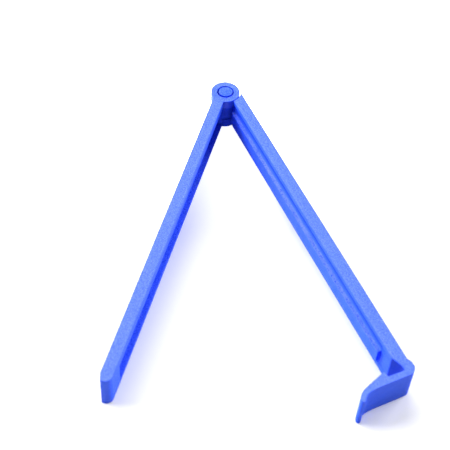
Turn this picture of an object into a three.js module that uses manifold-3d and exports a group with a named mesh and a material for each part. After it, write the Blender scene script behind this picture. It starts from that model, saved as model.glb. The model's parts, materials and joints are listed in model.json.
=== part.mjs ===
// Hinged sealing clip: two long arms joined by a pinned knuckle hinge at one
// end and held shut by a hooked latch at the other. Millimetres, +Z up.
//
// Frame: the origin is on the hinge axis, at the clip's lower side face. The
// hinge axis runs along +Z. The arms lie in the XY plane and point along -Y,
// spread evenly about it: groove_arm to -X, ridge_arm to +X.
//
// Every profile is drawn in an arm's own plane as (u, w): u runs from the hinge
// axis towards the free end, w runs from groove_arm's outer face (negative)
// to ridge_arm's outer face (positive) with the clip shut.

import * as THREE from 'three';
import * as BufferGeometryUtils from 'three/addons/utils/BufferGeometryUtils.js';
import Module from 'manifold-3d';

const wasm = await Module();
wasm.setup();

// -------------------------------------------------------- shared dimensions
const WIDTH = 12;            // along the hinge axis
const OPEN_DEG = 38.9;       // angle between the arms as modelled
const OVERRUN = 1;           // how far cutting shapes reach past a face

const EAR_R = 4.9;           // clevis ears, on groove_arm
const EAR_WIDTH = 3.2;       // each ear, along the axis
const KNUCKLE_R = 4.6;       // knuckle between them, on ridge_arm
const SIDE_GAP = 0.3;        // ear to knuckle, each side
const SWEEP_R = 5.3;         // clearance radius round ears and knuckle
const PIN_R = 2.44;

const ROUND_SEGMENTS = 96;   // ears' clearance, notch and knuckle
const BORE_SEGMENTS = 72;    // pin and the holes round it

// Inner and outer faces of the arms, in w
const GROOVE_ARM_OUTER = -3.09;
const GROOVE_ARM_INNER = 0.57;
const RIDGE_ARM_INNER = 0.87;
const RIDGE_ARM_OUTER = 4.82;

// Sloping pocket in ridge_arm's inner face, in front of the latch wall
const POCKET_U = 116.9;
const POCKET_SLOPE = 0.42;
const pocketFloor = (u) => RIDGE_ARM_INNER + (u - POCKET_U) * POCKET_SLOPE;

const FLEX_U = 118.6;        // end of ridge_arm, at the springy root of the latch

// ------------------------------------------------------------------- helpers
function toSolid(geometry) {
  geometry.deleteAttribute('normal');
  geometry.deleteAttribute('uv');
  const merged = BufferGeometryUtils.mergeVertices(geometry, 1e-5);
  return new wasm.Manifold(new wasm.Mesh({
    numProp: 3,
    vertProperties: new Float32Array(merged.attributes.position.array),
    triVerts: new Uint32Array(merged.index.array),
  }));
}

function toGeometry(solid) {
  const mesh = solid.getMesh();
  const geometry = new THREE.BufferGeometry();
  const positions = new Float32Array(mesh.vertProperties);
  geometry.setAttribute('position', new THREE.BufferAttribute(positions, 3));
  geometry.setIndex(new THREE.BufferAttribute(new Uint32Array(mesh.triVerts), 1));
  geometry.computeVertexNormals();
  return geometry;
}

const toVectors = (points) => points.map(([x, y]) => new THREE.Vector2(x, y));

function extrude(points, from, to) {
  const geometry = new THREE.ExtrudeGeometry(new THREE.Shape(toVectors(points)), {
    depth: to - from,
    bevelEnabled: false,
  });
  return geometry.translate(0, 0, from);
}

// A (u, w) outline made into a slab from z0 to z1, turned so that u runs along
// -Y and w along +X.
function slab(outline, z0 = 0, z1 = WIDTH) {
  return toSolid(extrude(outline, z0, z1).rotateZ(-Math.PI / 2));
}

// A (w, z) cross-section drawn out along an arm from u0 to u1.
function rail(section, u0, u1) {
  return toSolid(extrude(section, u0, u1).rotateX(Math.PI / 2));
}

// A body of revolution about the hinge axis from an (r, z) profile.
function turned(profile, segments = ROUND_SEGMENTS) {
  const geometry = new THREE.LatheGeometry(toVectors(profile), segments);
  return toSolid(geometry.rotateX(Math.PI / 2));
}

function disc(radius, z0, z1, segments) {
  return turned([[0, z0], [radius, z0], [radius, z1], [0, z1]], segments);
}

// A cutter for a hole right through the width, on the hinge axis.
function bore(radius) {
  return disc(radius, -OVERRUN, WIDTH + OVERRUN, BORE_SEGMENTS);
}

// Points of an arc about a centre, without its first point.
function arcPoints([x, y], radius, from, to, steps) {
  const points = [];
  for (let i = 1; i <= steps; i++) {
    const angle = from + ((to - from) * i) / steps;
    points.push([x + radius * Math.cos(angle), y + radius * Math.sin(angle)]);
  }
  return points;
}

// Points along a smooth curve through the given ones.
function smooth(points, steps) {
  return new THREE.SplineCurve(toVectors(points)).getPoints(steps).map(({ x, y }) => [x, y]);
}

// ---------------------------------------------------------------- groove_arm
const EAR_HOLE_R = 2.90;
const EAR_FILLET = 5.5;      // hollow fillet between ear and outer face
const NOTCH_FILLET = 0.8;    // corners of the notch between the ears

const GROOVE_ARM_END = 122.0;
const END_ROUND = 2.1;       // rounding of its inner end corner
const LEAD_IN_U = 2.2;       // lead-in bevel on its outer end corner
const LEAD_IN_W = 0.75;

const GROOVE = {
  u0: 5.3, u1: 114.0,
  z0: 1.5, z1: 8.5,
  depth: 1.65,
  hingeSlope: 0.6,           // run of each sloped end, along u
  latchSlope: 0.3,
};

function grooveArmOutline() {
  // The fillet touches the outer face and the ear's circle.
  const filletW = GROOVE_ARM_OUTER - EAR_FILLET;
  const filletU = Math.sqrt((EAR_R + EAR_FILLET) ** 2 - filletW ** 2);
  const touchAngle = Math.atan2(filletW, filletU);
  const innerAngle = Math.asin(GROOVE_ARM_INNER / EAR_R);
  const roundU = GROOVE_ARM_END - END_ROUND;

  const outline = [
    [EAR_R * Math.cos(innerAngle), GROOVE_ARM_INNER],
    [roundU, GROOVE_ARM_INNER],
    ...arcPoints([roundU, GROOVE_ARM_INNER - END_ROUND], END_ROUND, Math.PI / 2, 0, 10),
    [GROOVE_ARM_END, GROOVE_ARM_OUTER + LEAD_IN_W],
    [GROOVE_ARM_END - LEAD_IN_U, GROOVE_ARM_OUTER],
    [filletU, GROOVE_ARM_OUTER],
    ...arcPoints([filletU, filletW], EAR_FILLET, Math.PI / 2, touchAngle + Math.PI, 10),
    ...arcPoints([0, 0], EAR_R, touchAngle, innerAngle - 2 * Math.PI, 72),
  ];
  outline.pop();             // the ear's arc ends on the first point
  return outline;
}

// Notch between the ears for the knuckle, with rounded corners.
function earNotch() {
  const z0 = EAR_WIDTH;
  const z1 = WIDTH - EAR_WIDTH;
  const filletR = SWEEP_R - NOTCH_FILLET;
  return turned([
    [0, z0],
    [filletR, z0],
    ...arcPoints([filletR, z0 + NOTCH_FILLET], NOTCH_FILLET, -Math.PI / 2, 0, 6),
    [SWEEP_R, z1 - NOTCH_FILLET],
    ...arcPoints([filletR, z1 - NOTCH_FILLET], NOTCH_FILLET, 0, Math.PI / 2, 6),
    [0, z1],
  ]);
}

// Sealing groove along the inner face.
function sealingGroove() {
  const { u0, u1, z0, z1, depth, hingeSlope, latchSlope } = GROOVE;
  const floor = GROOVE_ARM_INNER - depth;
  return slab([
    [u0, GROOVE_ARM_INNER + OVERRUN],
    [u0, GROOVE_ARM_INNER],
    [u0 + hingeSlope, floor],
    [u1 - latchSlope, floor],
    [u1, GROOVE_ARM_INNER],
    [u1, GROOVE_ARM_INNER + OVERRUN],
  ], z0, z1);
}

function grooveArm() {
  return slab(grooveArmOutline())
    .subtract(bore(EAR_HOLE_R))
    .subtract(earNotch())
    .subtract(sealingGroove());
}

// ----------------------------------------------------------------- ridge_arm
const PIN_SEAT_GAP = 0.03;   // pin to knuckle bore, radial

const HEEL_U = 1.2;          // slight slope of the outer face at the hinge end
const HEEL_DROP = 0.15;
const NOSE_U = 2.75;         // blunt end of the outer corner beside the ears
const NOSE_CUT_W0 = 3.9;
const NOSE_CUT_W1 = 6;

const RIDGE_U0 = 5.9;
const RIDGE_U1 = 112.1;
const RIDGE_HEIGHT = 1.3;
const RIDGE_RAMP = 0.9;      // sloped start of the ridge, beside the hinge
const RIDGE_TAPER = 1.8;     // slight fall of the crest towards the latch
const RIDGE_END_HEIGHT = 1.2; // height of its square end, beside the latch
const RIDGE_ROOT = 0.5;      // how far the ridge is sunk into the arm
const CREST_CLEARANCE = 0.01; // keeps the end trim off the crest

// Hollow flank as [z, height], mirrored about mid-width
const RIDGE_FLANK = [
  [8.9, 0], [8.62, 0.08], [8.42, 0.22], [8.28, 0.5], [8.24, RIDGE_HEIGHT],
];
// Relief channel along the ridge, as [z, depth], mirrored about mid-width
const CHANNEL = [
  [10.5, 0], [10.36, 0.5], [10.02, 0.5], [9.7, 0.12], [8.9, 0],
];

const sameZ = (z) => z;
const mirroredZ = (z) => WIDTH - z;

// Main bar, up to the springy root of the latch.
function ridgeArmBar() {
  return slab([
    [0, RIDGE_ARM_INNER],
    [0, RIDGE_ARM_OUTER - HEEL_DROP],
    [HEEL_U, RIDGE_ARM_OUTER],
    [FLEX_U, RIDGE_ARM_OUTER],
    [FLEX_U, pocketFloor(FLEX_U)],
    [POCKET_U, RIDGE_ARM_INNER],
  ]);
}

function reliefChannel(side) {
  const openW = RIDGE_ARM_INNER - OVERRUN;
  return rail([
    [openW, side(CHANNEL[0][0])],
    ...CHANNEL.map(([z, depth]) => [RIDGE_ARM_INNER + depth, side(z)]),
    [openW, side(CHANNEL.at(-1)[0])],
  ], RIDGE_U0, RIDGE_U1);
}

// Sealing ridge: a flat crest between two hollow flanks, ramped beside the
// hinge and cut off square beside the latch.
function sealingRidge() {
  const rootW = RIDGE_ARM_INNER + RIDGE_ROOT;
  const rootZ = RIDGE_FLANK[0][0];
  const flank = (side) => RIDGE_FLANK.map(([z, height]) => [RIDGE_ARM_INNER - height, side(z)]);
  const ridge = rail([
    [rootW, rootZ],
    ...flank(sameZ),
    ...flank(mirroredZ).reverse(),
    [rootW, mirroredZ(rootZ)],
  ], RIDGE_U0, RIDGE_U1);

  const crestW = RIDGE_ARM_INNER - RIDGE_HEIGHT - CREST_CLEARANCE;
  const endW = RIDGE_ARM_INNER - RIDGE_END_HEIGHT;
  const endTrim = slab([
    [RIDGE_U0 - OVERRUN, RIDGE_ARM_INNER + OVERRUN],
    [RIDGE_U0, rootW],
    [RIDGE_U0, RIDGE_ARM_INNER],
    [RIDGE_U0 + RIDGE_RAMP, crestW],
    [RIDGE_U1 - RIDGE_TAPER, crestW],
    [RIDGE_U1, endW],
    [RIDGE_U1 + OVERRUN, endW],
    [RIDGE_U1 + OVERRUN, RIDGE_ARM_INNER + OVERRUN],
  ]);
  return ridge.intersect(endTrim);
}

function ridgeArm() {
  const knuckleZ0 = EAR_WIDTH + SIDE_GAP;
  const knuckleZ1 = WIDTH - EAR_WIDTH - SIDE_GAP;
  let body = ridgeArmBar();

  // Clearance round both ears, and the blunt nose beside them.
  for (const [z0, z1] of [[-OVERRUN, knuckleZ0], [knuckleZ1, WIDTH + OVERRUN]]) {
    body = body.subtract(disc(SWEEP_R, z0, z1));
    body = body.subtract(slab([
      [-OVERRUN, NOSE_CUT_W0],
      [NOSE_U, NOSE_CUT_W0],
      [NOSE_U, NOSE_CUT_W1],
      [-OVERRUN, NOSE_CUT_W1],
    ], z0, z1));
  }

  body = body.add(disc(KNUCKLE_R, knuckleZ0, knuckleZ1));
  body = body.subtract(bore(PIN_R + PIN_SEAT_GAP));

  for (const side of [sameZ, mirroredZ]) {
    body = body.subtract(reliefChannel(side));
  }
  return body.add(sealingRidge());
}

// --------------------------------------------------------------- latch_lever
const FLEX_GAP = 0.06;       // end of ridge_arm to the latch
const POCKET_END_U = 120.55; // end of the pocket's sloping floor
const POCKET_CORNER_R = 0.75;
const POCKET_CORNER_DROP = 0.62; // pocket floor to the corner's centre, along w

const WALL_U = 122.35;       // inner face of the latch wall
const HOOK_U = 120.65;
const HOOK_W = -3.75;
const HOOK_TIP_R = 0.26;

const CORNER_U = 124.12;     // the latch's outer corner
const CORNER_W = 5.6;        // it stands proud of the arm
const CORNER_R = 2.4;

const TAB_TIP = [126.35, -13.05];
const TAB_TIP_R = 0.78;

// Latch profiles as [u, w], in order round the outline
const WALL_TO_HOOK = [
  [WALL_U + 0.05, -2.75], [WALL_U - 0.1, -3.2], [HOOK_U + 0.25, -3.5],
];
const HOOK_TIP = [HOOK_U + 0.22, HOOK_W - 0.02];
// Guide face and the flare of the release tab
const GUIDE_FACE = [
  [121.55, -6.2], [122.75, -9.4], [123.55, -11.3], [124.6, -12.85], [126.0, -13.75],
];
// Back of the tab and outer face of the wall
const LATCH_BACK = [
  [126.35, -12.3], [125.55, -11.6], [125.0, -10.5], [124.72, -9.0], [124.5, -6.5],
  [124.28, -1.0], [124.15, 2.7],
];
// From the proud corner down to the arm's outer face
const CORNER_TO_ARM = [
  [120.7, CORNER_W - 0.04], [120.25, CORNER_W - 0.18],
  [119.4, RIDGE_ARM_OUTER + 0.16], [119.05, RIDGE_ARM_OUTER],
];

function latchLever() {
  const rootU = FLEX_U + FLEX_GAP;
  const floorW = pocketFloor(POCKET_END_U);
  const pocketCorner = [WALL_U - POCKET_CORNER_R, floorW - POCKET_CORNER_DROP];
  const outerCorner = [CORNER_U - CORNER_R, CORNER_W - CORNER_R];
  return slab([
    [rootU, RIDGE_ARM_OUTER],
    [rootU, pocketFloor(rootU)],
    [POCKET_END_U, floorW],
    ...arcPoints(pocketCorner, POCKET_CORNER_R, Math.PI / 2, 0, 6),
    ...WALL_TO_HOOK,
    ...arcPoints(HOOK_TIP, HOOK_TIP_R, Math.PI / 2, Math.PI + 0.33, 5),
    ...smooth(GUIDE_FACE, 22),
    ...arcPoints(TAB_TIP, TAB_TIP_R, -Math.PI * 0.62, Math.PI * 0.2, 8),
    ...smooth(LATCH_BACK, 26),
    ...arcPoints(outerCorner, CORNER_R, 0, Math.PI / 2, 10),
    ...CORNER_TO_ARM,
  ]);
}

// ----------------------------------------------------------------- hinge_pin
const PIN_CHAMFER = 0.25;

function hingePin() {
  return turned([
    [0, 0],
    [PIN_R - PIN_CHAMFER, 0],
    [PIN_R, PIN_CHAMFER],
    [PIN_R, WIDTH - PIN_CHAMFER],
    [PIN_R - PIN_CHAMFER, WIDTH],
    [0, WIDTH],
  ], BORE_SEGMENTS);
}

// ------------------------------------------------------------------ assembly
function plastic(color) {
  return new THREE.MeshStandardMaterial({ color, roughness: 0.45, metalness: 0.0 });
}

function piece(name, solid, color) {
  const mesh = new THREE.Mesh(toGeometry(solid), plastic(color));
  mesh.name = name;
  return mesh;
}

// The pieces that swing together, turned about the hinge axis.
function swungSide(angle, ...pieces) {
  const side = new THREE.Group();
  side.rotation.z = angle;
  return side.add(...pieces);
}

const halfOpen = THREE.MathUtils.degToRad(OPEN_DEG / 2);
const clip = new THREE.Group();
clip.add(
  swungSide(-halfOpen, piece('groove_arm', grooveArm(), 0x2a4fd8)),
  swungSide(
    halfOpen,
    piece('ridge_arm', ridgeArm(), 0x2548d0),
    piece('latch_lever', latchLever(), 0x2f58e0),
    piece('hinge_pin', hingePin(), 0x2c52dc),
  ),
);

export default clip;
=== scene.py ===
import json
import math
import random

import bmesh
import bpy
from mathutils import Matrix, Vector
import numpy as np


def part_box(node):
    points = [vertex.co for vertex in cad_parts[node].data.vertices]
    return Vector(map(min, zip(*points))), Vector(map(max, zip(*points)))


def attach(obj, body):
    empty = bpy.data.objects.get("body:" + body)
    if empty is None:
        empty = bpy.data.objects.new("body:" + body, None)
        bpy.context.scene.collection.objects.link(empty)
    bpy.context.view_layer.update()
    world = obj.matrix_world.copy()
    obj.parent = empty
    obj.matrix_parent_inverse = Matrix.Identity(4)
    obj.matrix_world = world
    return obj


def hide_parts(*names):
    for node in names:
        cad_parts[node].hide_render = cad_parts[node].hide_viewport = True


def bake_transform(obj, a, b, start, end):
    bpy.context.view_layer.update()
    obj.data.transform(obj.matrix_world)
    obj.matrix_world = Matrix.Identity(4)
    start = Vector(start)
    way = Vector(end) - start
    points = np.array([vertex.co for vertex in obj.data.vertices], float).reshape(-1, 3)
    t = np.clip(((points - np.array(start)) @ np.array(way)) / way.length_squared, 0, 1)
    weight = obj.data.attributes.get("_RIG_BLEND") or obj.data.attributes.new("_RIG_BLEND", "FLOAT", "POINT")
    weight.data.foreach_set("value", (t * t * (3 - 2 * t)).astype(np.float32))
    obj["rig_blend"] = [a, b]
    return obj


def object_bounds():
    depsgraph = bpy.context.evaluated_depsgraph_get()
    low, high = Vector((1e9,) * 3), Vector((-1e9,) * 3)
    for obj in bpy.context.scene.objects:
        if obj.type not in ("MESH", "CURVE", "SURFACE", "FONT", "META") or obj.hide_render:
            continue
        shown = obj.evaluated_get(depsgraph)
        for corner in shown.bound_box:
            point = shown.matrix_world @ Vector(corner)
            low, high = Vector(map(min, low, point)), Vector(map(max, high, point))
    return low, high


# A hinged sealing clip, lying on its side on z = 0. The hinge axis stands upright through
# the origin and both long arms reach towards -y, the grooved one on the -x side and the
# ridged one, with the latch at its end, on the +x side. Edges are rounded, walls are laid
# up in print layers, and the latch runs on from its arm as one springy body.
#
# Parts are shaped in millimetres in the frame of their arm: x ("along") runs from the
# hinge axis to the free end, y ("across") from the grooved arm's outer face towards the
# ridged arm's outer face, z along the hinge axis.

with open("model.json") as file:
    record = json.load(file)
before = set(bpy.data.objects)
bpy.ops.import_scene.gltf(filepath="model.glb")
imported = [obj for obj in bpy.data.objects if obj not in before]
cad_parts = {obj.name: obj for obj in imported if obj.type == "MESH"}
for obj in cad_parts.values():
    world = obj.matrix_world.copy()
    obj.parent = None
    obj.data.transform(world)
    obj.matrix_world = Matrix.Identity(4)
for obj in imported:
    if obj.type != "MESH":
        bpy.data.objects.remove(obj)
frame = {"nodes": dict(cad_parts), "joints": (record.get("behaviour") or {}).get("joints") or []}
cad_box = [list(corner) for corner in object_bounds()]

MM = 1000.0
joints = {joint["name"]: joint for joint in frame["joints"]}
HALF_OPENING = math.radians(-joints["main_hinge"]["range_deg"][0] / 2)
LATCH_FLEX = Vector(joints["latch_flex"]["pos_m"])
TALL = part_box("groove_arm")[1].z * MM  # width of the clip, along the hinge axis
MIDDLE = TALL / 2

# Print layers
LAYERS = 50
LAYER = TALL / LAYERS
SEAM_HALF = 0.05      # half width of the seam between two layers
SEAM_DEPTH = 0.026
LAYER_WANDER = 0.014  # how far single layers stand back, at most
SEAM_REACH = 0.008    # how near to a seam's level a point counts as on it

# Shapes
EDGE_ROUND = 0.28
PIN_EDGE_ROUND = 0.1
INNER_FACE = 0.87     # the ridged arm's inner face, across
RIDGE_START = 8.0     # along
POCKET_START = 116.9  # along
POCKET_SLOPE = 0.42
EAR_DEPTH = 3.4       # how deep each ear reaches over the pin
PIN_SAG = Vector((-0.155, 0.16, 0))  # the pin's heads print a little off centre in the ears
LATCH_BEND = 1.3      # the latch bends over this length on either side of its root
LATCH_CUT = 0.3       # spacing of the cuts in that stretch
END_REACH = 0.01      # how near to an end face a point counts as on it

# Lights
TENT = (  # axis, sign, share of the tent's light from that direction
    ("Z", 1, 0.22), ("Y", 1, 0.20), ("Y", -1, 0.08), ("X", -1, 0.12), ("X", 1, 0.12),
)
SOFTBOXES = (  # name, place, width, height, watts
    ("softbox_back", (-0.24, 0.70, 0.88), 1.1, 0.8, 13.5),
    ("softbox_left", (-0.95, 0.33, 0.42), 0.9, 0.7, 24.0),
    ("softbox_right", (0.95, 0.33, 0.42), 0.9, 0.7, 17.5),
)
SOFTBOX_AIM = Vector((0, -0.05, 0))


def arm_frame(side):
    """The matrix from the scene to an arm's frame; side is -1 for -x, 1 for +x."""
    sine, cosine = math.sin(HALF_OPENING) * side, math.cos(HALF_OPENING)
    turn = Matrix(((sine, -cosine, 0, 0), (cosine, sine, 0, 0), (0, 0, 1, 0), (0, 0, 0, 1)))
    return turn @ Matrix.Scale(MM, 4)


GROOVE, RIDGE = arm_frame(-1), arm_frame(1)


def add_object(name, data):
    item = bpy.data.objects.new(name, data)
    bpy.context.scene.collection.objects.link(item)
    return item


# -------------------------------------------------------------- mesh building
def cad_copy(node, to_arm):
    solid = bmesh.new()
    solid.from_mesh(frame["nodes"][node].data)
    solid.transform(to_arm)
    bmesh.ops.remove_doubles(solid, verts=solid.verts, dist=3e-4)
    merge_flats(solid)
    return solid


def merge_flats(solid):
    bmesh.ops.dissolve_limit(
        solid, angle_limit=math.radians(0.5), verts=solid.verts, edges=solid.edges)


def join_latch(arm, latch):
    """Brings the latch's root face onto the arm's end face and removes both, so that the
    two solids become one closed body."""
    arm_end = max(vert.co.x for vert in arm.verts)
    latch_root = min(vert.co.x for vert in latch.verts)
    corners = [vert.co.copy() for vert in arm.verts if abs(vert.co.x - arm_end) < END_REACH]
    for vert in latch.verts:
        if abs(vert.co.x - latch_root) < END_REACH:
            vert.co = min(corners, key=lambda corner: (corner - vert.co).length)
    for solid in (arm, latch):
        caps = [
            face for face in solid.faces
            if all(abs(vert.co.x - arm_end) < END_REACH for vert in face.verts)
        ]
        bmesh.ops.delete(solid, geom=caps, context="FACES_ONLY")
    part = bpy.data.meshes.new("latch_part")
    latch.to_mesh(part)
    latch.free()
    arm.from_mesh(part)
    bpy.data.meshes.remove(part)
    bmesh.ops.remove_doubles(arm, verts=arm.verts, dist=2e-3)
    merge_flats(arm)
    return arm


def round_edges(solid, width, segments=3):
    """Rounds the outward edges and marks the middle of each rounding in rim_highlight, the mask of a painted
    highlight along the edges that also stands for a little edge wear.
    """
    sharp = math.radians(28.0)
    rim_highlight = solid.verts.layers.float.new("rim_highlight")
    solid.normal_update()
    edges = [
        edge for edge in solid.edges
        if edge.is_manifold and edge.calc_face_angle_signed(0.0) > sharp
    ]
    made = bmesh.ops.bevel(
        solid, geom=edges, offset=width, offset_type="OFFSET", segments=segments, profile=0.5,
        affect="EDGES", clamp_overlap=True, loop_slide=True, material=-1,
    )
    rounded = set(made["faces"])
    # the middle of each rounding carries the painted edge highlight
    for vert in made["verts"]:
        if all(face in rounded for face in vert.link_faces):
            vert[rim_highlight] = 1.0


def cut_at(solid, axis, levels, faces=None):
    """Cuts every face the levels cross, or only the given ones, working upwards so that
    finished faces are left alone."""
    normal = Vector((0, 0, 0))
    normal[axis] = 1.0
    live = list(solid.faces if faces is None else faces)
    for level in sorted(levels):
        live = [face for face in live if max(v.co[axis] for v in face.verts) > level + 1e-4]
        geom = set(live)
        for face in live:
            geom.update(face.verts)
            geom.update(face.edges)
        made = bmesh.ops.bisect_plane(
            solid, geom=list(geom), dist=0.006, plane_co=normal * level, plane_no=normal,
        )
        live = [item for item in made["geom"] if isinstance(item, bmesh.types.BMFace)]


def on_seam(vert, seam):
    return 0 < seam < LAYERS and abs(vert.co.z - seam * LAYER) < SEAM_REACH


def lay_up(solid, seed):
    """Turns smooth walls into a stack of print layers: a fine seam between each two, and
    single layers that stand back a little."""
    levels = []
    for k in range(1, LAYERS):
        levels += [k * LAYER - SEAM_HALF, k * LAYER, k * LAYER + SEAM_HALF]
    cut_at(solid, 2, levels)
    rng = random.Random(seed)
    back = [-LAYER_WANDER * rng.random() ** 1.6 for _ in range(LAYERS - 2)]
    back = [0.0] + back + [0.0]
    solid.normal_update()
    # The moves are gathered first, from the normals of the unmoved walls.
    moves = []
    for vert in solid.verts:
        seam = round(vert.co.z / LAYER)
        if on_seam(vert, seam):
            offset = -SEAM_DEPTH + min(back[seam - 1], back[seam])
        else:
            offset = back[min(LAYERS - 1, max(0, int(vert.co.z / LAYER)))]
        outward = Vector((vert.normal.x, vert.normal.y, 0.0))
        if outward.length > 0.35:  # leaves the upper and lower sides alone
            moves.append((vert, outward.normalized() * offset))
    for vert, move in moves:
        vert.co += move
    for edge in solid.edges:
        first, second = edge.verts
        seam = round(first.co.z / LAYER)
        edge.smooth = not (on_seam(first, seam) and on_seam(second, seam))


def finish_mesh(solid, name, from_arm):
    """Makes the object. "place" keeps each point's arm frame position for the material."""
    solid.normal_update()
    for face in solid.faces:
        face.smooth = True
    for edge in solid.edges:
        if edge.is_manifold and edge.calc_face_angle(0.0) > math.radians(42):
            edge.smooth = False
    mesh = bpy.data.meshes.new(name)
    solid.to_mesh(mesh)
    solid.free()
    place = mesh.attributes.new("place", "FLOAT_VECTOR", "POINT")
    place.data.foreach_set("vector", [value for vert in mesh.vertices for value in vert.co])
    mesh.transform(from_arm)
    low, high = cad_box
    for vert in mesh.vertices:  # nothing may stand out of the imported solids' bounds
        vert.co = [min(max(value, a), b) for value, a, b in zip(vert.co, low, high)]
    mesh.update()
    body = add_object(name, mesh)
    even = body.modifiers.new("even_normals", "WEIGHTED_NORMAL")
    even.mode = "FACE_AREA"
    even.weight = 50
    even.keep_sharp = True
    return body


# -------------------------------------------------------------- the three parts
def paint_hinge_end_highlights(solid):
    """Paints highlights on the free-end side of the grooved arm's hinge end: strongly on rounded
    edges in mid width, a little on the outer wall near the top."""
    rim_highlight = solid.verts.layers.float["rim_highlight"]
    for vert in solid.verts:
        radius, z = vert.co.xy.length, vert.co.z
        if radius < 5.2 and vert.co.x > 0.0:
            # painted highlight on the ears' rounded edges and on the upper outer wall
            if vert[rim_highlight] > 0.5 and 2.8 < z < TALL - 2.8:
                vert[rim_highlight] = 2.4
            elif radius > 4.6 and TALL - 3.3 < z < TALL - 0.3:
                vert[rim_highlight] = max(vert[rim_highlight], 0.7)


def groove_arm():
    solid = cad_copy("groove_arm", GROOVE)
    round_edges(solid, EDGE_ROUND)
    lay_up(solid, seed=11)
    paint_hinge_end_highlights(solid)
    body = finish_mesh(solid, "grooved_arm", GROOVE.inverted())
    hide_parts("groove_arm")
    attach(body, "groove_arm")
    return body


def rough_ridge(solid, seed):
    """Small blobs and strings left on the ridge's ledges, which carry a painted highlight, and a slow
    waver of its crest."""
    foot = 0.16        # the ridge counts from this height above the inner face
    half_width = 2.75
    rng = random.Random(seed)
    rim_highlight = solid.verts.layers.float["rim_highlight"]
    standing = []
    for face in solid.faces:
        centre = face.calc_center_median()
        if INNER_FACE - centre.y > 0.1 and RIDGE_START < centre.x < 112.0:
            standing.append(face)
    cut_at(solid, 0, [9.0 + 0.8 * k for k in range(128)], standing)
    blobs = [  # place along, width, height
        (rng.uniform(14, 108), rng.uniform(0.5, 1.3), rng.uniform(0.05, 0.16)) for _ in range(34)
    ]
    for vert in solid.verts:
        along, across, z = vert.co
        height = INNER_FACE - across
        off_middle = abs(z - MIDDLE)
        if not RIDGE_START < along < 111.2 or height < foot or off_middle > half_width:
            continue
        share = min(1.0, (height - foot) / 0.4)
        waver = 0.035 * math.sin(along * 0.55) + 0.025 * math.sin(along * 1.7 + 1.0)
        rise = sum(
            tall * math.exp(-((along - at) / wide) ** 2)
            for at, wide, tall in blobs if abs(along - at) < 4
        )
        ledge = max(0.0, 1.0 - abs(off_middle - 2.2) / 0.35)
        vert.co.y -= share * (waver + 0.35 * rise * ledge)
        vert.co.z += math.copysign(share * ledge * (0.5 * rise + 0.3 * waver), z - MIDDLE)
        # painted highlight on the ledges, fading out towards the hinge
        if abs(abs(z - MIDDLE) - 2.3) < 0.25:
            ledge_highlight_fade = min(1.0, max(0.0, (along - 9.0) / 26.0))  # grows away from the hinge
            vert[rim_highlight] = max(vert[rim_highlight], 0.9 * share * ledge_highlight_fade)


def paint_shade_in_hollows(solid):
    """Marks painted shade in the relief channels along the ridge and on the sloping pocket in front of the
    latch, and a painted highlight on the inner face's upper edge."""
    hollow_shade = solid.verts.layers.float.new("hollow_shade")
    pocket_shade = solid.verts.layers.float.new("pocket_shade")
    rim_highlight = solid.verts.layers.float["rim_highlight"]
    for vert in solid.verts:
        along, across, z = vert.co
        depth = across - INNER_FACE
        off_middle = abs(z - MIDDLE)
        in_channel = 5.6 < along < POCKET_START - 2 and 2.55 < off_middle < 4.8
        if in_channel and -0.4 < depth < 1.0:
            # painted shade in the relief channel
            foot = 1.0 - abs(off_middle - 3.7) / 1.15
            vert[hollow_shade] = min(1.0, max(0.0, depth / 0.12, 0.9 * foot))
        elif POCKET_START < along < 122.2 and 0.3 < z < TALL - 0.55:
            # painted shade on the pocket and the latch's inner wall
            on_slope = abs(depth - (along - POCKET_START) * POCKET_SLOPE) < 0.12
            if on_slope or (along > 120.8 and -3.4 < depth < 2.2):
                vert[pocket_shade] = min(1.0, (along - POCKET_START) / 0.5)
        elif vert[rim_highlight] > 0.5 and 6.0 < along < POCKET_START:
            # painted highlight along the inner face's upper edge
            if abs(depth) < 0.35 and z > TALL - 0.35:
                vert[rim_highlight] = 2.2


def ridge_arm():
    solid = join_latch(cad_copy("ridge_arm", RIDGE), cad_copy("latch_lever", RIDGE))
    round_edges(solid, EDGE_ROUND)
    root = RIDGE @ LATCH_FLEX
    lay_up(solid, seed=23)
    cut_at(solid, 0, [root.x + LATCH_CUT * k for k in range(-4, 5)])
    rough_ridge(solid, seed=41)
    paint_shade_in_hollows(solid)
    to_scene = RIDGE.inverted()
    body = finish_mesh(solid, "ridged_arm_with_latch", to_scene)
    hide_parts("ridge_arm", "latch_lever")
    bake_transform(body, "ridge_arm", "latch", to_scene @ Vector((root.x - LATCH_BEND, root.y, 0)),
             to_scene @ Vector((root.x + LATCH_BEND, root.y, 0)))
    return body


def hinge_pin():
    solid = cad_copy("hinge_pin", RIDGE)
    round_edges(solid, PIN_EDGE_ROUND, segments=2)
    lay_up(solid, seed=5)
    hollow_shade = solid.verts.layers.float.new("hollow_shade")
    for vert in solid.verts:
        # painted shade on the pin's side walls, down in the gap to the ears
        if vert.co.xy.length > 2.2 and 0.12 < vert.co.z < TALL - 0.12:
            vert[hollow_shade] = 1.0
        if vert.co.z < EAR_DEPTH or vert.co.z > TALL - EAR_DEPTH:
            vert.co += PIN_SAG
    body = finish_mesh(solid, "printed_hinge_pin", RIDGE.inverted())
    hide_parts("hinge_pin")
    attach(body, "ridge_arm")
    return body


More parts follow.
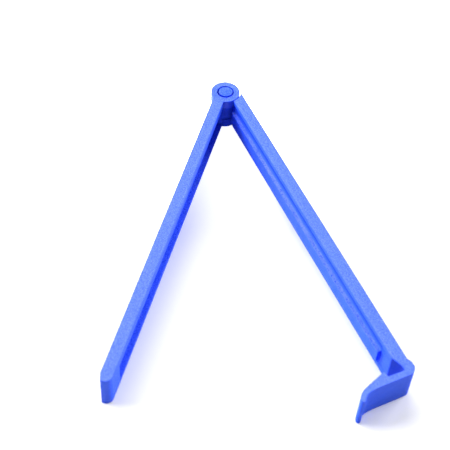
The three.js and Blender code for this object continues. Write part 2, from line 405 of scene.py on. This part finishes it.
# ------------------------------------------------------------------ materials
class Tree:
    """Short names for building the node tree of a material or world."""

    def __init__(self, owner):
        owner.use_nodes = True
        self.tree = owner.node_tree
        self.tree.nodes.clear()

    def node(self, kind, inputs=None, **settings):
        """A node; each input is given a value or linked to a socket."""
        node = self.tree.nodes.new(kind)
        for key, value in settings.items():
            setattr(node, key, value)
        for key, value in (inputs or {}).items():
            if isinstance(value, bpy.types.NodeSocket):
                self.tree.links.new(value, node.inputs[key])
            else:
                node.inputs[key].default_value = value
        return node

    def calc(self, operation, *values, clamp=False):
        inputs = dict(enumerate(values))
        return self.node(
            "ShaderNodeMath", inputs, operation=operation, use_clamp=clamp).outputs[0]

    def multiply(self, a, b):
        return self.calc("MULTIPLY", a, b, 0.0)

    def add(self, base, value, gain):
        """base + value * gain"""
        return self.calc("MULTIPLY_ADD", value, gain, base)

    def scaled(self, vector, factors):
        inputs = {0: vector, 1: factors}
        return self.node("ShaderNodeVectorMath", inputs, operation="MULTIPLY").outputs[0]

    def split(self, vector):
        return self.node("ShaderNodeSeparateXYZ", {0: vector}).outputs

    def attribute(self, name, output="Fac"):
        return self.node(
            "ShaderNodeAttribute", attribute_name=name, attribute_type="GEOMETRY").outputs[output]

    def noise(self, vector, scale=1.0, stretch=None, detail=2.0, rough=0.5):
        if stretch:
            vector = self.scaled(vector, stretch)
        inputs = {"Vector": vector, "Scale": scale, "Detail": detail, "Roughness": rough}
        return self.node("ShaderNodeTexNoise", inputs).outputs["Fac"]

    def ramp(self, value, start, end, low=0.0, high=1.0, shape="SMOOTHSTEP"):
        """Runs from low to high while value runs from start to end."""
        inputs = {
            "Value": value, "From Min": start, "From Max": end, "To Min": low, "To Max": high}
        return self.node("ShaderNodeMapRange", inputs, interpolation_type=shape).outputs["Result"]

    def vary(self, base, pattern, amount, where=None):
        """base, changed by up to the amount either way with the pattern."""
        even = self.ramp(pattern, 0.3, 0.7, low=-1.0, shape="LINEAR")
        return self.add(base, even, amount if where is None else self.multiply(where, amount))

    def mix(self, share, a, b):
        return self.node("ShaderNodeMix", {0: share, 6: a, 7: b}, data_type="RGBA").outputs[2]

    def surface(self, inputs):
        shader = self.node("ShaderNodeBsdfPrincipled", inputs)
        self.node("ShaderNodeOutputMaterial", {"Surface": shader.outputs[0]})


def printed_plastic(name, sheen=1.0, lip=None):
    """Blue printed plastic: streaks along the layers on the walls, the grain of the print bed on
    the upper side with painted glints, laid lines on the lower side. Long edges carry a
    painted highlight that also stands for a little edge wear, the hollows and the pocket carry
    painted shade, and the round ends, laid in circles, carry painted shade that is stronger
    towards the free ends. lip is the place across of an inner edge next to which the upper
    side carries a painted highlight."""
    material = bpy.data.materials.new(name)
    tree = Tree(material)
    place = tree.attribute("place", "Vector")
    # rim_highlight marks painted highlights; hollow_shade and pocket_shade mark painted shade
    rim_highlight, hollow_shade, pocket_shade = (tree.attribute(mark) for mark in ("rim_highlight", "hollow_shade", "pocket_shade"))

    # Masks: which way the surface faces, and regions of the upper side
    facing = tree.split(tree.node("ShaderNodeNewGeometry").outputs["Normal"])["Z"]
    up = tree.ramp(facing, 0.75, 0.95)
    down = tree.ramp(facing, -0.75, -0.95)
    wall = tree.calc("SUBTRACT", 1.0, tree.calc("ADD", up, down, 0.0), 0.0, clamp=True)

    flat = {0: tree.scaled(place, (1.0, 1.0, 0.0))}
    radius = tree.node("ShaderNodeVectorMath", flat, operation="LENGTH").outputs["Value"]
    at = tree.split(place)
    # painted shade on the round ends, stronger towards the free ends
    ring_shade = tree.multiply(tree.ramp(radius, 3.6, 6.2, low=1.0, high=0.0), up)
    ring_shade = tree.multiply(ring_shade, tree.ramp(at["X"], -4.0, 2.0, low=0.2, high=1.15))
    # painted highlight on the upper side next to the inner edge
    lip_highlight = 0.0
    if lip is not None:
        lip_highlight = tree.multiply(tree.ramp(at["Y"], lip + 0.2, lip + 1.7, low=1.0, high=0.0), up)
    bed = tree.multiply(up, tree.ramp(at["Z"], TALL - 0.7, TALL - 0.4))

    # Patterns
    streak = tree.noise(place, stretch=(0.05, 0.05, 2.1), detail=4.0, rough=0.62)
    fine_streak = tree.noise(place, stretch=(0.22, 0.22, 9.0), detail=3.0, rough=0.6)
    blobs = tree.noise(place, stretch=(0.45, 0.45, 1.4), detail=3.0, rough=0.6)
    mottle = tree.noise(place, scale=0.16, detail=3.0, rough=0.55)
    grain = tree.noise(place, scale=2.0, rough=0.62)
    speck = tree.noise(place, scale=3.4, rough=0.6)
    pits = tree.noise(place, scale=6.0)
    lines = tree.node(
        "ShaderNodeTexWave",
        {"Vector": place, "Scale": 0.38, "Distortion": 0.5, "Detail": 2.0, "Detail Scale": 0.3},
        wave_type="BANDS", bands_direction="Y", wave_profile="SIN",
    ).outputs["Fac"]

    # Colour
    shade = 1.0
    for pattern, amount, where in (
        (streak, 0.09, wall), (fine_streak, 0.07, wall), (blobs, 0.07, wall),
        (grain, 0.52, up), (speck, 0.28, up), (mottle, 0.05, None), (lines, 0.05, down),
    ):
        shade = tree.vary(shade, pattern, amount, where)
    # painted shade on the round ends, painted highlights next to the lip and on the edges
    for mask, gain in ((ring_shade, -0.10), (lip_highlight, 0.10), (rim_highlight, 0.30)):
        shade = tree.add(shade, mask, gain)
    deep = (0.0120, 0.0730, 0.78, 1)
    light = (0.0380, 0.1360, 0.97, 1)
    colour = tree.mix(tree.ramp(shade, 0.7, 1.3, shape="LINEAR"), deep, light)
    # painted glints on the bed-textured upper side, fewer on the edge highlights
    painted_glint = tree.multiply(tree.ramp(speck, 0.55, 0.72), bed)
    painted_glint = tree.multiply(painted_glint, tree.ramp(rim_highlight, 0.0, 0.6, low=1.0, high=0.15))
    # painted glints, and painted shade in the hollows and on the pocket
    for mask, strength, tint in (
        (painted_glint, 0.16, (0.45, 0.55, 1.0, 1)),
        (hollow_shade, 0.74, (0.004, 0.040, 0.62, 1)),
        (pocket_shade, 0.90, (0.012, 0.036, 0.33, 1)),
    ):
        colour = tree.mix(tree.multiply(mask, strength), colour, tint)

    # Roughness
    rough = tree.vary(0.52, streak, 0.05, wall)
    rough = tree.vary(rough, grain, 0.10, up)
    rough = tree.add(rough, up, -0.08)
    rough = tree.add(rough, rim_highlight, -0.14)

    # Relief
    height = tree.multiply(tree.multiply(fine_streak, wall), 0.012)
    for pattern, where, gain in (
        (streak, wall, 0.030), (blobs, wall, 0.050), (grain, up, 0.26),
        (speck, up, 0.08), (pits, up, 0.025), (lines, down, 0.035),
    ):
        height = tree.add(height, tree.multiply(pattern, where), gain)
    bump = tree.node("ShaderNodeBump", {"Strength": 0.8, "Distance": 0.001, "Height": height})

    # Shine
    shine = tree.add(tree.add(0.27, up, 0.25), bed, 0.27)
    shine = tree.vary(shine, grain, 0.36, up)
    shine = tree.vary(shine, speck, 0.20, up)
    for mask, gain in ((rim_highlight, 0.75), (ring_shade, -0.22), (lip_highlight, 0.12)):
        shine = tree.add(shine, mask, gain)
    shine = tree.multiply(shine, sheen)
    # less shine where shade is painted
    shade_marks = tree.calc("MAXIMUM", hollow_shade, pocket_shade, 0.0)
    shine = tree.multiply(shine, tree.add(1.0, shade_marks, -0.75))

    tree.surface({
        "Base Color": colour, "Roughness": rough, "Normal": bump.outputs[0],
        "IOR": 1.46, "Specular IOR Level": shine,
    })
    return material


def floor_material():
    """A pale table that glows a little, and to the camera more so towards +y."""
    material = bpy.data.materials.new("pale_table")
    tree = Tree(material)
    place = tree.node("ShaderNodeTexCoord").outputs["Object"]
    cloud = tree.noise(place, scale=9.0, detail=3.0)
    seen = tree.node("ShaderNodeLightPath").outputs["Is Camera Ray"]
    glow = tree.ramp(tree.split(place)["Y"], -0.055, -0.012, high=0.90)
    tree.surface({
        "Base Color": tree.mix(cloud, (0.90, 0.90, 0.91, 1), (0.93, 0.93, 0.935, 1)),
        "Roughness": 0.6,
        "Specular IOR Level": 0.25,
        "Emission Color": (0.97, 0.98, 1.0, 1),
        "Emission Strength": tree.add(0.14, glow, seen),
    })
    return material


# -------------------------------------------------------------------- stage
def floor():
    grid = bmesh.new()
    bmesh.ops.create_grid(grid, x_segments=8, y_segments=8, size=1.6)
    mesh = bpy.data.meshes.new("table_top")
    grid.to_mesh(mesh)
    grid.free()
    table = add_object("table_top", mesh)
    table.location = (0, 0, -0.00003)  # just clear of the clip's lower side
    mesh.materials.append(floor_material())


def softbox(name, place, width, height, watts):
    data = bpy.data.lights.new(name, "AREA")
    data.shape = "RECTANGLE"
    data.size, data.size_y = width, height
    data.energy = watts
    lamp = add_object(name, data)
    lamp.location = place
    lamp.rotation_mode = "QUATERNION"
    lamp.rotation_quaternion = (SOFTBOX_AIM - Vector(place)).to_track_quat("-Z", "Y")


def surroundings():
    """A white tent. Each direction's share of the light follows the square of its cosine,
    so that equal shares add up to an even tent."""
    world = bpy.data.worlds.new("tent")
    bpy.context.scene.world = world
    tree = Tree(world)
    direction = tree.split(tree.node("ShaderNodeTexCoord").outputs["Generated"])
    total = 0.0
    for axis, sign, share in TENT:
        lobe = tree.calc("MAXIMUM", tree.calc("MULTIPLY", direction[axis], sign), 0.0)
        total = tree.add(total, tree.calc("MULTIPLY", lobe, lobe), share)
    light = tree.node("ShaderNodeBackground", {"Color": (1.0, 1.0, 1.0, 1), "Strength": total})
    tree.node("ShaderNodeOutputWorld", {"Surface": light.outputs[0]})


def camera():
    """Looks down towards +y, focused between the arms."""
    place = (-0.0313, -0.2789, 0.2765)
    right = Vector((0.997, -0.069, 0.044)).normalized()
    back = Vector((-0.078, -0.636, 0.767))
    back = (back - right * back.dot(right)).normalized()
    up = back.cross(right)
    data = bpy.data.cameras.new("viewpoint")
    data.sensor_width = 36.0
    data.lens = 88.76
    data.shift_x, data.shift_y = 0.0011, -0.0006
    data.clip_start, data.clip_end = 0.01, 10.0
    viewpoint = add_object("viewpoint", data)
    rows = [row for row in zip(right, up, back, place)]
    viewpoint.matrix_world = Matrix((*rows, (0, 0, 0, 1)))
    bpy.context.scene.camera = viewpoint
    focus = add_object("focus", None)
    focus.location = (0.0, -0.030, 0.006)
    data.dof.use_dof = True
    data.dof.focus_object = focus
    data.dof.aperture_fstop = 27.0


parts = [
    (groove_arm(), printed_plastic("blue_print_groove")),
    (ridge_arm(), printed_plastic("blue_print_ridge", sheen=0.92, lip=INNER_FACE)),
    (hinge_pin(), printed_plastic("blue_print_pin", sheen=0.55)),
]
for body, material in parts:
    body.data.materials.clear()
    body.data.materials.append(material)

floor()
surroundings()
for box in SOFTBOXES:
    softbox(*box)
camera()
bpy.context.scene.view_settings.view_transform = "Standard"
